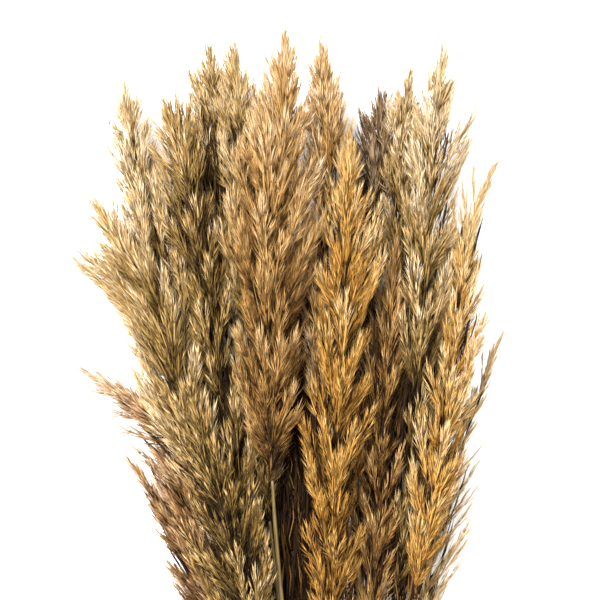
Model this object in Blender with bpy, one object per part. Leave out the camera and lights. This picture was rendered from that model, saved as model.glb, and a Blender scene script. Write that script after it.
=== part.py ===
# A bunch of dried common reeds that lies on a flat surface, plumes towards +Y.
# Each reed is one culm and one plume. The reeds fan out from the gathered culms.
# Metres, +Z up. The origin is the middle of the box that holds the bunch, at its foot.

import math
import random

import bmesh
import bpy
import numpy as np
from mathutils import Vector

for old in list(bpy.data.objects):
    bpy.data.objects.remove(old, do_unlink=True)

MM = 0.001

# The bunch, in millimetres
CUT_Y = -572.0
CUT_SPREAD = 14.0
GATHER_Y = -478.0
GATHER_X = 19.0
FAN_REACH = 42.0
GATHER_DEPTH = 0.19
LYING_Z = 2.3
DEPTH = 112.0

# The culms
CULM_RADIUS = 2.2
NECK_RADIUS = 1.5
CULM_SPACING = 5.5
PASSING_SPACING = 13.0
NECK_GAP = 0.4
CLEAR_OF_CUT = 30.0
CLEAR_OF_NECK = 25.0
OVER_NECK = 3.0

# The plumes
PLUME_SPACING = 0.60
SIDES = 12
RINGS = 16
VALLEY = 0.60
TUFT_LEAN = math.radians(27)
TUFT_SPREAD = 0.16
TUFT_START = 0.45
LEAN_SPREAD = 0.25
NECK_DISC = 1.9
LEAST_SHARE = 4.0
WALL_GAP = 1.3
PAST_TIP = 26.0
PRESSED_BELOW = 6.5
OUTLINE_AT = (0.0, 0.05, 0.14, 0.28, 0.45, 0.64, 0.80, 0.91, 0.97, 1.0)
OUTLINE = (0.08, 0.34, 0.66, 0.93, 1.0, 0.90, 0.70, 0.48, 0.30, 0.06)

# Heights along the bunch where the reeds' places are settled, and how they settle: each
# round parts the reeds that are too close, draws each towards its place and straightens it
LEVELS = (-572, -478, -400, -320, -245, -170, -95, -20, 55, 125, 200)
ROUNDS = 420
ONLY_PARTING = 0.25
PART_SHARE = 0.35
LAST_PART_SHARE = 0.55
DRAW_SIDEWAYS = 0.06
DRAW_UP = 0.02
STRAIGHTEN = 0.08
FLOOR_SHARE = 0.42
CEILING_SHARE = 0.19
BODY_WIDTH = 20.0

# For each reed: the tip (x, y), the middle (x, y) and the neck (x, y) of its plume,
# the heights of middle, neck and tip, the plume's half width, and its colour.
CREAM = (0.72, 0.58, 0.34)
TAN = (0.60, 0.42, 0.22)
GOLD = (0.66, 0.42, 0.15)
GREY = (0.36, 0.28, 0.19)
PINK = (0.54, 0.37, 0.22)
REEDS = (
    ((-11.0, 200.4), (-21.1, 36.4), (-25.3, -133.8), 92, 70, 84, 33, TAN),
    ((37.2, 132.3), (28.5, -43.9), (20.9, -283.0), 88, 68, 70, 27, GOLD),
    ((14.8, 193.7), (22.5, 74.9), (22.7, -106.1), 62, 48, 76, 25, TAN),
    ((106.3, 190.4), (94.9, 74.7), (76.4, -231.4), 64, 28, 78, 27, CREAM),
    ((132.0, 86.7), (109.2, -36.9), (91.5, -225.0), 78, 60, 54, 20, GOLD),
    ((61.5, 162.5), (59.6, 54.2), (55.9, -155.3), 24, 20, 46, 24, GREY),
    ((84.1, 174.3), (74.7, 83.8), (70.6, -130.4), 42, 34, 58, 20, PINK),
    ((73.4, 49.2), (66.5, -90.6), (54.9, -274.3), 52, 42, 50, 21, GOLD),
    ((-157.1, 77.0), (-94.8, -13.3), (-41.1, -205.7), 74, 42, 52, 29, CREAM),
    ((-148.6, 12.3), (-81.9, -63.7), (-37.5, -260.4), 48, 36, 36, 17, CREAM),
    ((-164.2, -55.2), (-73.4, -115.8), (-36.6, -274.8), 50, 40, 34, 18, PINK),
    ((-115.1, -147.8), (-74.4, -213.2), (-29.6, -326.8), 22, 18, 18, 20, TAN),
    ((138.6, -65.5), (109.1, -147.1), (84.0, -311.2), 24, 18, 30, 15, GOLD),
    ((-93.2, 155.2), (-80.1, 59.4), (-37.5, -229.4), 72, 38, 66, 25, CREAM),
    ((-69.9, 193.8), (-62.3, 83.5), (-34.5, -138.1), 46, 34, 58, 25, CREAM),
    ((-50.6, 192.1), (-44.9, 74.9), (-24.4, -167.9), 62, 40, 68, 20, TAN),
    ((-134.1, 169.2), (-123.2, 77.0), (-55.7, -123.8), 30, 24, 42, 25, TAN),
    ((-35.8, 166.1), (-26.3, 0.0), (-10.8, -263.2), 24, 24, 42, 21, GREY),
    ((-2.3, 7.7), (1.5, -107.4), (6.2, -293.1), 34, 28, 34, 19, PINK),
    ((-128.7, 50.4), (-79.1, -54.3), (-35.0, -225.2), 22, 20, 22, 22, PINK),
    ((120.0, 65.8), (100.8, -62.0), (79.2, -240.8), 22, 20, 24, 26, TAN),
    ((-81.2, -70.1), (-51.2, -160.9), (-24.0, -315.0), 88, 60, 78, 24, TAN),
)

# Long single branches that reach past a plume's outline: reed number, tip (x, y)
LONG_BRANCHES = (
    (5, (148.5, 104.1)),
    (5, (135.8, 45.0)),
    (5, (138.0, -6.8)),
    (4, (131.3, 145.4)),
    (4, (126.9, 120.2)),
    (17, (-147.8, 123.3)),
    (9, (-169.9, 34.7)),
    (10, (-159.3, 21.4)),
    (11, (-171.1, -50.6)),
    (12, (-134.6, -122.9)),
    (13, (156.3, -23.9)),
    (13, (145.5, -109.1)),
    (13, (138.5, -142.4)),
    (13, (132.4, -167.2)),
    (12, (-108.7, -181.7)),
    (12, (-104.1, -205.8)),
    (1, (-4.4, 185.7)),
    (3, (5.2, 175.2)),
    (3, (30.3, 170.8)),
    (15, (-83.4, 174.3)),
    (14, (-102.2, 149.2)),
)

TIP, MIDDLE, NECK, MIDDLE_Z, NECK_Z, TIP_Z, HALF_WIDTH, COLOUR = range(8)
levels = np.array(LEVELS, float)
count = len(REEDS)
rng = random.Random(11)


def first_places():
    """Each reed's x and z at each level, from its tip, middle and neck to the gathered culms."""
    places = np.zeros((count, len(levels), 2))
    for i, reed in enumerate(REEDS):
        fan = (reed[NECK][0] - GATHER_X) / (reed[NECK][1] - GATHER_Y)
        gather_x = GATHER_X + FAN_REACH * fan
        gather_z = LYING_Z + GATHER_DEPTH * reed[MIDDLE_Z]
        along = (CUT_Y, GATHER_Y, reed[NECK][1], reed[MIDDLE][1], reed[TIP][1])
        across = (gather_x, gather_x, reed[NECK][0], reed[MIDDLE][0], reed[TIP][0])
        high = (gather_z, gather_z, reed[NECK_Z], reed[MIDDLE_Z], reed[TIP_Z])
        places[i, :, 0] = np.interp(levels, along, across)
        places[i, :, 1] = np.interp(levels, along, high)
        past = levels > reed[TIP][1]
        slope = (across[4] - across[3]) / (along[4] - along[3])
        places[i, past, 0] += slope * (levels[past] - reed[TIP][1])
    return places


def outline_share(share):
    """A plume's half width at a share of its length, as a share of its greatest."""
    return np.interp(share, OUTLINE_AT, OUTLINE)


def half_width(i, y):
    """A reed's half width at y: its plume's, or its culm's below the neck."""
    neck, tip = REEDS[i][NECK][1], REEDS[i][TIP][1]
    if y < neck:
        return CULM_RADIUS
    return REEDS[i][HALF_WIDTH] * outline_share((y - neck) / (tip - neck))


def spacing(i, j, y):
    """The least distance between two reeds at y."""
    wide_i, wide_j = half_width(i, y), half_width(j, y)
    plume_i, plume_j = y >= REEDS[i][NECK][1], y >= REEDS[j][NECK][1]
    if plume_i and plume_j:
        return max(CULM_SPACING, PLUME_SPACING * (wide_i + wide_j))
    if plume_i or plume_j:
        return CULM_SPACING + (PASSING_SPACING - CULM_SPACING) * min(1, max(wide_i, wide_j) / BODY_WIDTH)
    return CULM_SPACING


def settle(places):
    """Moves the reeds apart at each level until they have room, and keeps each near its place."""
    wanted = places.copy()
    pairs = []
    for k, y in enumerate(levels):
        here = [i for i in range(count) if y <= REEDS[i][TIP][1] + PAST_TIP]
        for n, i in enumerate(here):
            for j in here[n + 1:]:
                pairs.append((k, i, j, spacing(i, j, min(y, REEDS[i][TIP][1], REEDS[j][TIP][1]))))
    ks = np.array([p[0] for p in pairs])
    ones = np.array([p[1] for p in pairs])
    others = np.array([p[2] for p in pairs])
    least = np.array([p[3] for p in pairs])
    width = np.array([[half_width(i, y) for y in levels] for i in range(count)])
    floor = LYING_Z + FLOOR_SHARE * (width - CULM_RADIUS)
    ceiling = DEPTH - CEILING_SHARE * width
    tips = np.array([reed[TIP][1] for reed in REEDS])
    inside = (levels[None, 2:] <= tips[:, None])[:, :, None]
    for turn in range(ROUNDS):
        last = turn > (1 - ONLY_PARTING) * ROUNDS
        way = places[ones, ks] - places[others, ks]
        far = np.maximum(np.linalg.norm(way, axis=1), 0.01)
        push = np.maximum(0, least - far) * 0.5
        step = way / far[:, None] * push[:, None]
        moves = np.zeros_like(places)
        np.add.at(moves, (ones, ks), step)
        np.add.at(moves, (others, ks), -step)
        places += (LAST_PART_SHARE if last else PART_SHARE) * moves
        if not last:
            places[:, :, 0] += DRAW_SIDEWAYS * (wanted[:, :, 0] - places[:, :, 0])
            places[:, :, 1] += DRAW_UP * (wanted[:, :, 1] - places[:, :, 1])
            middle = 0.5 * (places[:, :-2] + places[:, 2:])
            places[:, 1:-1] += STRAIGHTEN * inside * (middle - places[:, 1:-1])
        places[:, :, 1] = np.maximum(places[:, :, 1], floor)
        places[:, :, 1] = np.minimum(places[:, :, 1], ceiling)
    return places


places = settle(first_places())
slopes = np.gradient(places, levels, axis=1)


def place(i, y):
    """The middle of reed i at y, on a smooth curve through its places at the levels."""
    k = int(np.clip(np.searchsorted(levels, y) - 1, 0, len(levels) - 2))
    span = levels[k + 1] - levels[k]
    t = (y - levels[k]) / span
    t = float(np.clip(t, 0, 1))
    beyond = y - float(np.clip(y, levels[0], levels[-1]))
    a, b = places[i, k], places[i, k + 1]
    m, n = slopes[i, k] * span, slopes[i, k + 1] * span
    u = 1 - t
    spot = (1 + 2 * t) * u * u * a + t * u * u * m + t * t * (3 - 2 * t) * b - t * t * u * n
    spot += (m if beyond < 0 else n) / span * beyond
    return np.array([spot[0], max(spot[1], LYING_Z)])


def room(i, y, way):
    """How far reed i's plume may reach from its middle at y, in the direction way (x, z)."""
    middle = place(i, y)
    wide = max(LEAST_SHARE, half_width(i, min(y, REEDS[i][TIP][1])))
    most = 1000.0
    if way[1] < 0:
        most = middle[1] / -way[1]
    for j in range(count):
        if j == i or y > REEDS[j][TIP][1] + PAST_TIP:
            continue
        off = place(j, y) - middle
        far = np.linalg.norm(off)
        toward = np.dot(way, off) / far
        if toward <= 0:
            continue
        if y < REEDS[j][NECK][1] - OVER_NECK:
            limit = far - CULM_RADIUS - WALL_GAP
        else:
            other = max(LEAST_SHARE, half_width(j, min(y, REEDS[j][TIP][1])))
            limit = far * wide / (wide + other) - 0.5 * WALL_GAP
        most = min(most, max(limit, 0.5) / toward)
    return most


def own_material(name, colour, roughness):
    material = bpy.data.materials.new(name + "_straw")
    material.use_nodes = True
    shader = material.node_tree.nodes["Principled BSDF"]
    shader.inputs["Base Color"].default_value = (*colour, 1.0)
    shader.inputs["Roughness"].default_value = roughness
    shader.inputs["Metallic"].default_value = 0.0
    return material


def point(i, y, lift=(0.0, 0.0)):
    x, z = place(i, y) + lift
    return Vector((x, y, z)) * MM


def make_culm(i, parent, collection):
    """A tapering tube along the reed from its cut end to the neck."""
    name = f"stem_{i + 1:02d}"
    neck = REEDS[i][NECK][1]
    cut = CUT_Y + CUT_SPREAD * rng.uniform(-1, 1)
    inner = [y for y in LEVELS if cut + CLEAR_OF_CUT < y < neck - CLEAR_OF_NECK]
    stops = [cut, *inner, neck - NECK_GAP]
    curve = bpy.data.curves.new(name, "CURVE")
    curve.dimensions = "3D"
    curve.bevel_depth = MM
    curve.bevel_resolution = 2
    curve.use_fill_caps = True
    spline = curve.splines.new("POLY")
    spline.points.add(len(stops) - 1)
    for k, y in enumerate(stops):
        share = (y - cut) / (neck - cut)
        spline.points[k].co = (*point(i, y), 1.0)
        spline.points[k].radius = CULM_RADIUS + (NECK_RADIUS - CULM_RADIUS) * share
    culm = bpy.data.objects.new(name, curve)
    culm.data.materials.append(own_material(name, (0.50, 0.40, 0.16), 0.55))
    culm.parent = parent
    collection.objects.link(culm)


def tuft_place(i, y, angle, reach, valley, lean):
    """A point of a plume at an angle round its middle, which leans forward as it reaches out."""
    tip, middle = REEDS[i][TIP], REEDS[i][MIDDLE]
    slant = (tip[0] - middle[0]) / (tip[1] - middle[1])
    way = np.array([math.cos(angle) * math.hypot(1, slant), math.sin(angle)])
    out = reach
    for _ in range(4):
        forward = max(0.0, out - valley) / math.tan(lean)
        out = min(reach, room(i, y + forward, way))
    x, z = place(i, y + forward) + way * out
    if z < PRESSED_BELOW:
        z = 0.0
    return Vector((x, y + forward, z)) * MM


def make_plume(i, parent, collection):
    """A ball drawn out along the reed, with every other point of each ring drawn out as a tuft."""
    name = f"plume_{i + 1:02d}"
    reed = REEDS[i]
    neck, tip = reed[NECK][1], reed[TIP][1]
    cage = bmesh.new()
    bmesh.ops.create_uvsphere(cage, u_segments=SIDES, v_segments=RINGS, radius=1.0)
    turn = rng.uniform(0, 2 * math.pi / SIDES)
    along = (place(i, neck + 4) - place(i, neck - 4)) / 8
    tufts = []
    for vertex in cage.verts:
        ring = round(math.acos(max(-1.0, min(1.0, -vertex.co.z))) / math.pi * RINGS)
        side = round(math.atan2(vertex.co.y, vertex.co.x) / (2 * math.pi) * SIDES) % SIDES
        angle = turn + side * 2 * math.pi / SIDES
        if ring == 0:
            vertex.co = point(i, neck)
        elif ring == 1:
            lift = np.array([math.cos(angle), math.sin(angle)]) * NECK_DISC
            drop = float(np.dot(lift, along))
            vertex.co = point(i, neck, lift) - Vector((0, drop, 0)) * MM
        elif ring == RINGS:
            vertex.co = point(i, tip)
            tufts.append(vertex)
        else:
            share = (ring - 1) / (RINGS - 1)
            y = neck + share * (tip - neck)
            wide = reed[HALF_WIDTH] * float(outline_share(share))
            valley = VALLEY * wide
            if (ring + side) % 2:
                reach = wide * (1 + TUFT_SPREAD * rng.uniform(-1, 1))
                lean = TUFT_LEAN * (1 + LEAN_SPREAD * rng.uniform(-1, 1))
                y -= (wide - valley) / math.tan(lean) * TUFT_START
                y = max(y, neck + 2)
                vertex.co = tuft_place(i, y, angle, reach, valley, lean)
                tufts.append(vertex)
            else:
                vertex.co = tuft_place(i, y, angle, valley, valley, TUFT_LEAN)
    for owner, (x, y) in LONG_BRANCHES:
        if owner == i + 1:
            near = min(tufts, key=lambda v: math.hypot(v.co.x - x * MM, v.co.y - y * MM))
            near.co = (x * MM, y * MM, near.co.z)
            tufts.remove(near)
    bmesh.ops.triangulate(cage, faces=cage.faces)
    bmesh.ops.recalc_face_normals(cage, faces=cage.faces)
    mesh = bpy.data.meshes.new(name)
    cage.to_mesh(mesh)
    cage.free()
    mesh.shade_smooth()
    plume = bpy.data.objects.new(name, mesh)
    mesh.materials.append(own_material(name, reed[COLOUR], 0.85))
    plume.parent = parent
    collection.objects.link(plume)


def box_corners(collection):
    """The least and greatest corners of all the pieces as they are drawn."""
    scene_now = bpy.context.evaluated_depsgraph_get()
    spots = []
    for piece in collection.objects:
        if piece.type == "EMPTY":
            continue
        shape = piece.evaluated_get(scene_now).to_mesh()
        spots += [tuple(piece.matrix_world @ v.co) for v in shape.vertices]
    spots = np.array(spots)
    return spots.min(axis=0), spots.max(axis=0)


bunch = bpy.data.collections.new("bunch_of_reeds")
bpy.context.scene.collection.children.link(bunch)
base = bpy.data.objects.new("bunch_base", None)
bunch.objects.link(base)
for number in range(count):
    make_culm(number, base, bunch)
    make_plume(number, base, bunch)

bpy.context.view_layer.update()
low, high = box_corners(bunch)
base.location = (-(low[0] + high[0]) / 2, -(low[1] + high[1]) / 2, -low[2])
bpy.context.view_layer.update()
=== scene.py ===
import bpy
import numpy as np
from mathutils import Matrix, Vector


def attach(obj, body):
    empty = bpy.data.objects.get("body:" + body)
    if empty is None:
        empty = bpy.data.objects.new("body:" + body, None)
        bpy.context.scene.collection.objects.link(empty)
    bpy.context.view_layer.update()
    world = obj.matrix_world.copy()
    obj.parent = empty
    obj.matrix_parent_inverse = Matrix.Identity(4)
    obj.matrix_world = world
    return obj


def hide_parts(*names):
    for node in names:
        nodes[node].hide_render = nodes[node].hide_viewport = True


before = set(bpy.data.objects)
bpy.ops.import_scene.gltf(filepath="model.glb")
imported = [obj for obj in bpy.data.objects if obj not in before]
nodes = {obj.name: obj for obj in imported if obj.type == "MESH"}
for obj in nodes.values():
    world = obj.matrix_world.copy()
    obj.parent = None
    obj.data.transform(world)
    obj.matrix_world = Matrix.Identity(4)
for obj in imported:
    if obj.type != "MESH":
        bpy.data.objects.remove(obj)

body = "root"
mm = 0.001
upwards = np.array([0.0, 0.0, 1.0])
goldenTurn = 2.4  # radians
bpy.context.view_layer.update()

# Camera
# It looks straight down on the lying bunch. At 60 mm above the floor the picture is 450 mm wide.
view = {
    "place": (0.0074, 0.19167, 1.185),
    "lens": 90.0,
    "sensor": 36.0,
    "near": 0.05,  # nothing nearer is drawn
    "picture": 600,  # pixels on a side
}

cameraData = bpy.data.cameras.new("photoCamera")
cameraData.lens = view["lens"]
cameraData.sensor_width = view["sensor"]
cameraData.clip_start = view["near"]
camera = bpy.data.objects.new("photoCamera", cameraData)
camera.location = view["place"]
bpy.context.scene.collection.objects.link(camera)
bpy.context.scene.camera = camera


# Vectors, paths and meshes
def unit(v):
    # a vector over its own length
    return v / np.maximum(np.linalg.norm(v, axis=-1, keepdims=True), 1e-9)


def across(t, reference):
    # two directions across t: the reference less its part along t, then the cross product of t with it
    left = unit(reference - (reference * t).sum(-1, keepdims=True) * t)
    return left, np.cross(t, left)


def tangents(paths):
    # the step from the point before to the point after, made one long
    return unit(np.gradient(paths, axis=-2))


def ringOf(left, up, sides, flat=1.0):
    # a circle of directions: the cosine of the angle times left plus flat times its sine times up
    a = np.arange(sides) * 2 * np.pi / sides
    return np.cos(a)[:, None] * left[..., None, :] + flat * np.sin(a)[:, None] * up[..., None, :]


def carry(paths, radii, sides, tone, span, along, reference, flat=1.0):
    # A closed profile carried along many paths: the path's point plus the radius times a direction of the
    # ring, with a pole at each end. The map's u is the tone plus span times (share of a turn less a half).
    count, samples = paths.shape[:2]
    left, up = across(tangents(paths), np.broadcast_to(reference, paths.shape))
    ring = ringOf(left[:, 1:-1], up[:, 1:-1], sides, flat)
    rings = paths[:, 1:-1, None] + radii[:, 1:-1, None, None] * ring
    verts = np.concatenate([paths[:, :1], rings.reshape(count, -1, 3), paths[:, -1:]], 1)
    faces, turn, step = pattern(samples, sides)
    u = tone[:, None] + span * (turn - 0.5)[None]
    v = np.broadcast_to(along, (count, samples))[:, step]
    faces = faces[None] + verts.shape[1] * np.arange(count)[:, None, None]
    return verts.reshape(-1, 3), faces.reshape(-1, 3), np.stack([u, v], -1).reshape(-1, 2)


def pattern(samples, sides):
    # a closed spindle: a fan at each pole and two triangles to each face of the wall between them, with
    # every corner's vertex number, share of a turn and sample number
    a = np.arange(sides)
    b = (a + 1) % sides
    walls = samples - 3
    last = 1 + (samples - 2) * sides
    lower = 1 + np.arange(walls)[:, None] * sides
    upper = lower + sides
    faces = np.concatenate([
        np.stack([0 * a, 1 + b, 1 + a], 1),
        np.stack([lower + a, lower + b, upper + b], -1).reshape(-1, 3),
        np.stack([lower + a, upper + b, upper + a], -1).reshape(-1, 3),
        np.stack([last - sides + a, last - sides + b, last + 0 * a], 1),
    ])
    start, end, half = a / sides, (a + 1) / sides, (a + 0.5) / sides
    turn = np.concatenate([
        np.stack([half, end, start], 1),
        np.tile(np.stack([start, end, end], 1), (walls, 1)),
        np.tile(np.stack([start, end, start], 1), (walls, 1)),
        np.stack([start, end, half], 1),
    ])
    rows = np.repeat(np.arange(walls), sides)[:, None] + 1
    step = np.concatenate([
        np.tile([0, 1, 1], (sides, 1)),
        rows + np.array([0, 0, 1]),
        rows + np.array([0, 1, 1]),
        np.tile([samples - 2, samples - 2, samples - 1], (sides, 1)),
    ])
    return faces, turn.ravel(), step.ravel()


def spikes(base, tip, radius, tone, span, along):
    # needles of four faces: three corners stand round the base at its radius, and all meet at the tip
    base, tip = settled(base, radius), settled(tip, radius)
    left, up = across(unit(tip - base), np.array([0.31, 0.17, 0.93]))
    foot = base[:, None] + radius[:, None, None] * ringOf(left, up, 3)
    verts = np.concatenate([foot, tip[:, None]], 1)
    corners = np.array([[0, 2, 1], [0, 1, 3], [1, 2, 3], [2, 0, 3]])
    turn = np.array([0.0, 0.5, 1.0, 0.5])[corners.ravel()]
    u = tone[:, None] + span * (turn - 0.5)
    v = np.broadcast_to(np.where(corners.ravel() == 3, along[1], along[0]), u.shape)
    faces = corners[None] + 4 * np.arange(len(base))[:, None, None]
    return verts.reshape(-1, 3), faces.reshape(-1, 3), np.stack([u, v], -1).reshape(-1, 2)


def makePiece(name, parts, material, node):
    # one mesh from parts of vertices, faces and map corners, where a part's faces count on from the vertices
    # before it. It rides on the bunch and stands in for one solid.
    verts = np.concatenate([part[0] for part in parts])
    starts = np.cumsum([0] + [len(part[0]) for part in parts[:-1]])
    faces = np.concatenate([part[1] + start for part, start in zip(parts, starts)])
    uv = np.concatenate([part[2] for part in parts])
    mesh = bpy.data.meshes.new(name)
    mesh.vertices.add(len(verts))
    mesh.vertices.foreach_set("co", verts.astype(np.float32).ravel())
    mesh.loops.add(faces.size)
    mesh.loops.foreach_set("vertex_index", faces.astype(np.int32).ravel())
    mesh.polygons.add(len(faces))
    mesh.polygons.foreach_set("loop_start", np.arange(0, faces.size, 3, dtype=np.int32))
    mesh.polygons.foreach_set("use_smooth", np.ones(len(faces), bool))
    layer = mesh.uv_layers.new(name="OFBake")
    layer.uv.foreach_set("vector", uv.astype(np.float32).ravel())
    mesh.update(calc_edges=True)
    mesh.materials.append(material)
    piece = bpy.data.objects.new(name, mesh)
    bpy.context.scene.collection.objects.link(piece)
    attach(piece, body)
    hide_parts(node)
    return len(faces)


def welded(node):
    # the solid's corners, one for all that agree to a hundredth of a millimetre, and its triangles
    mesh = nodes[node].data
    mesh.calc_loop_triangles()
    co = np.empty(len(mesh.vertices) * 3, np.float32)
    mesh.vertices.foreach_get("co", co)
    co = co.reshape(-1, 3).astype(float)
    tri = np.empty(len(mesh.loop_triangles) * 3, np.int32)
    mesh.loop_triangles.foreach_get("vertices", tri)
    cells = np.round(co * 1e5).astype(int)
    _, first, back = np.unique(cells, axis=0, return_index=True, return_inverse=True)
    return co[first], back.ravel()[tri].reshape(-1, 3)


def distances(points):
    # the length run from the first point of a line to each of its points
    return np.concatenate([[0], np.cumsum(np.linalg.norm(np.diff(points, axis=0), axis=1))])


def onPath(at, s, points):
    # each coordinate of the line read off at the distances asked for
    return np.stack([np.interp(at, s, points[:, k]) for k in range(3)], -1)


def resampled(points, count):
    # the same line with its points at equal distances, and its length
    s = distances(points)
    return onPath(np.linspace(0, s[-1], count), s, points), s[-1]


def smoothed(points, times):
    # each point becomes a quarter of the one before, half of itself and a quarter of the one after
    for _ in range(times):
        points[1:-1] = (points[:-2] + 2 * points[1:-1] + points[2:]) / 4
    return points


def bezier(p0, p1, p2, p3, w):
    # the four points times (1 - w) cubed, 3 (1 - w) squared w, 3 (1 - w) w squared and w cubed
    w = w[..., None]
    return (1 - w) ** 3 * p0 + 3 * (1 - w) ** 2 * w * p1 + 3 * (1 - w) * w**2 * p2 + w**3 * p3


def bezierHeading(p0, p1, p2, p3, w):
    # the steps between the four points times (1 - w) squared, 2 (1 - w) w and w squared, made one long
    w = w[..., None]
    return unit((1 - w) ** 2 * (p1 - p0) + 2 * (1 - w) * w * (p2 - p1) + w**2 * (p3 - p2))


# Finishes
def srgb(r, g, b):
    # each channel over 255, then over 12.92 if dark, or else ((c + 0.055) / 1.055) to the power of 2.4
    c = np.array([r, g, b]) / 255
    return tuple(np.where(c < 0.04045, c / 12.92, ((c + 0.055) / 1.055) ** 2.4)) + (1.0,)


def newMaterial(name):
    # an empty material with its tree and its shader
    material = bpy.data.materials.new(name)
    material.use_nodes = True
    tree = material.node_tree
    return material, tree, tree.nodes["Principled BSDF"]


def ramp(tree, stops, source, place):
    # colour by value: between two stops it changes in a straight line
    node = tree.nodes.new("ShaderNodeValToRGB")
    node.location = place
    cells = node.color_ramp.elements
    cells[0].position, cells[1].position = stops[0][0], stops[-1][0]
    cells[0].color, cells[1].color = srgb(*stops[0][1]), srgb(*stops[-1][1])
    for at, colour in stops[1:-1]:
        cells.new(at).color = srgb(*colour)
    tree.links.new(source, node.inputs["Fac"])
    return node.outputs["Color"]


def multiplied(tree, first, second, factor):
    # the first colour times the second, mixed into the first by the factor
    node = tree.nodes.new("ShaderNodeMix")
    node.data_type = "RGBA"
    node.blend_type = "MULTIPLY"
    node.inputs["Factor"].default_value = factor
    tree.links.new(first, node.inputs["A"])
    tree.links.new(second, node.inputs["B"])
    return node.outputs["Result"]


def noise(tree, vector, scale, detail):
    # plain noise over the map, that many times as fine as the map
    node = tree.nodes.new("ShaderNodeTexNoise")
    node.inputs["Scale"].default_value = scale
    node.inputs["Detail"].default_value = detail
    tree.links.new(vector, node.inputs["Vector"])
    return node


def fibreNoise(tree, uv, finish):
    # noise stretched along the strand: u and v are each multiplied by their own number first
    scale = tree.nodes.new("ShaderNodeMapping")
    scale.inputs["Scale"].default_value = finish["fibres"]
    tree.links.new(uv, scale.inputs["Vector"])
    return noise(tree, scale.outputs[0], 1.0, finish["fibreDetail"])


def ownMap(tree):
    # the piece's own map, and its two numbers apart: u holds the tone, v the place along the strand
    uv = tree.nodes.new("ShaderNodeUVMap")
    uv.uv_map = "OFBake"
    parts = tree.nodes.new("ShaderNodeSeparateXYZ")
    tree.links.new(uv.outputs["UV"], parts.inputs[0])
    return uv.outputs["UV"], parts.outputs["X"], parts.outputs["Y"]


def relief(tree, shader, height, finish):
    # a light fibre is smoother, in a straight line from the first roughness to the second, and stands up
    rough = tree.nodes.new("ShaderNodeMapRange")
    rough.inputs["To Min"].default_value = finish["roughness"][0]
    rough.inputs["To Max"].default_value = finish["roughness"][1]
    tree.links.new(height, rough.inputs["Value"])
    tree.links.new(rough.outputs["Result"], shader.inputs["Roughness"])
    bump = tree.nodes.new("ShaderNodeBump")
    bump.inputs["Strength"].default_value = finish["relief"]
    bump.inputs["Distance"].default_value = finish["reliefDepth"]
    tree.links.new(height, bump.inputs["Height"])
    tree.links.new(bump.outputs["Normal"], shader.inputs["Normal"])


# One row of colours per kind of reed: stalk pale, stalk dark, then the near-black strands that paint
# shade inside the plume, dark and paler, then the husks from shade to highlight.
plumeColours = {
    "tan": [(164, 132, 74), (122, 92, 48), (23, 14, 6), (56, 36, 14),
            (44, 27, 10), (127, 92, 44), (177, 139, 82), (201, 167, 114), (215, 188, 145), (229, 211, 181)],
    "gold": [(168, 134, 62), (124, 90, 42), (22, 13, 5), (56, 35, 12),
             (46, 28, 9), (129, 95, 41), (183, 136, 62), (207, 163, 86), (217, 184, 118), (229, 208, 167)],
    "cream": [(168, 146, 84), (124, 103, 55), (23, 16, 7), (58, 42, 18),
              (42, 31, 12), (128, 103, 53), (180, 151, 93), (205, 180, 138), (220, 203, 166),
              (233, 222, 202)],
    "grey": [(138, 115, 76), (98, 79, 49), (22, 14, 7), (50, 36, 17),
             (37, 26, 13), (94, 73, 47), (136, 111, 79), (164, 143, 116), (190, 173, 148), (214, 202, 184)],
    "pink": [(150, 122, 79), (110, 83, 51), (23, 14, 6), (56, 37, 17),
             (44, 27, 14), (126, 93, 56), (172, 135, 90), (196, 165, 130), (214, 190, 160), (227, 212, 192)],
}
# where each kind of strand lies across the map
bands = {"stalk": (0.03, 0.13), "shadeStrand": (0.17, 0.29), "husk": (0.34, 0.97)}

plumeFinish = {
    "foot": ((0, (140, 122, 102)), (0.22, (218, 208, 194)), (0.55, (248, 247, 245)), (1, (255, 255, 255))),
    "fibres": (620, 1.6, 1),  # how fine they are over the map, across and along
    "fibreDetail": 2.0,
    "shade": ((0.34, (176, 164, 150)), (0.62, (255, 255, 255))),
    "shadeDepth": 0.8,  # how much of it is used
    "warmth": ((0.37, (255, 232, 202)), (0.5, (252, 249, 243)), (0.63, (238, 245, 255))),
    "roughness": (0.9, 0.66),
    "relief": 0.25,
    "reliefDepth": 0.0002,
    "specular": 0.12,
}


def plumeMaterial(kind):
    # the tone's colour times a foot that darkens each strand towards its base but not at its point, times
    # the shade of the fibres, times a tint that makes some strands warmer and some cooler than those beside
    # them
    material, tree, shader = newMaterial("plume_" + kind)
    uv, tone, along = ownMap(tree)
    pale, dark, shadeStrandDark, shadeStrandPale, *huskRow = plumeColours[kind]
    stops = [(0.0, dark), (0.06, pale), (0.13, dark), (0.15, shadeStrandDark), (0.29, shadeStrandPale)]
    stops += [(float(at), colour) for at, colour in zip(np.linspace(*bands["husk"], len(huskRow)), huskRow)]
    colour = ramp(tree, stops, tone, (-500, 200))
    foot = ramp(tree, plumeFinish["foot"], along, (-500, -100))
    colour = multiplied(tree, colour, foot, 1.0)

    fibre = fibreNoise(tree, uv, plumeFinish)
    shade = ramp(tree, plumeFinish["shade"], fibre.outputs[0], (-300, -300))
    colour = multiplied(tree, colour, shade, plumeFinish["shadeDepth"])
    channels = tree.nodes.new("ShaderNodeSeparateColor")
    tree.links.new(fibre.outputs["Color"], channels.inputs["Color"])
    tint = ramp(tree, plumeFinish["warmth"], channels.outputs["Green"], (-300, -600))
    colour = multiplied(tree, colour, tint, 1.0)

    tree.links.new(colour, shader.inputs["Base Color"])
    relief(tree, shader, fibre.outputs[0], plumeFinish)
    shader.inputs["Specular IOR Level"].default_value = plumeFinish["specular"]
    return material


plumeMaterials = {kind: plumeMaterial(kind) for kind in plumeColours}
print("finishes made")
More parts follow.
